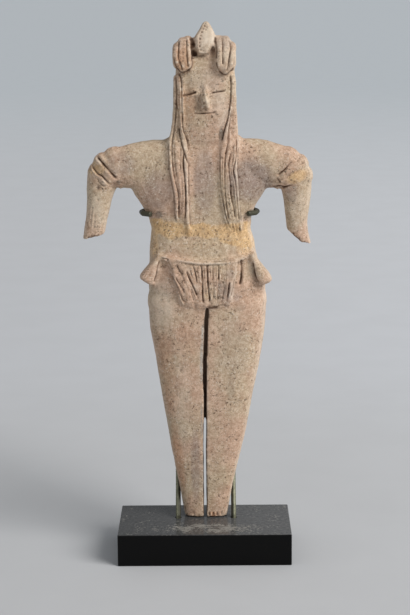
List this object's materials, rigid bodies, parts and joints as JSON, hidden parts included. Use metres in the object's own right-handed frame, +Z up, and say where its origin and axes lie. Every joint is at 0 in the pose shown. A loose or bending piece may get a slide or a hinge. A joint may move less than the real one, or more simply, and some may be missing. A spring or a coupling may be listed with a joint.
{
  "type": "terracotta figurine",
  "caption": "Standing fired-clay figurine with striated hair buns, long locks, armbands and a fringed apron, held on a polished black block by bent metal rods.",
  "frame": {"origin": "middle of the block's underside", "axes": "+Z up, the figure's front towards -Y, +X to the right of a person who looks at the front"},
  "size_m": [0.1049, 0.043, 0.246],
  "materials": {
    "fired_clay": "unglazed buff-pink fired clay, sandy, with ochre stains and worn edges",
    "polished_black": "polished black block, dusty on top",
    "patinated_metal": "dull green-grey patina"
  },
  "bodies": {
    "root": {"figurine": "fired_clay", "base_block": "polished_black", "support_rod_left": "patinated_metal", "support_rod_right": "patinated_metal"}
  },
  "joints": []
}
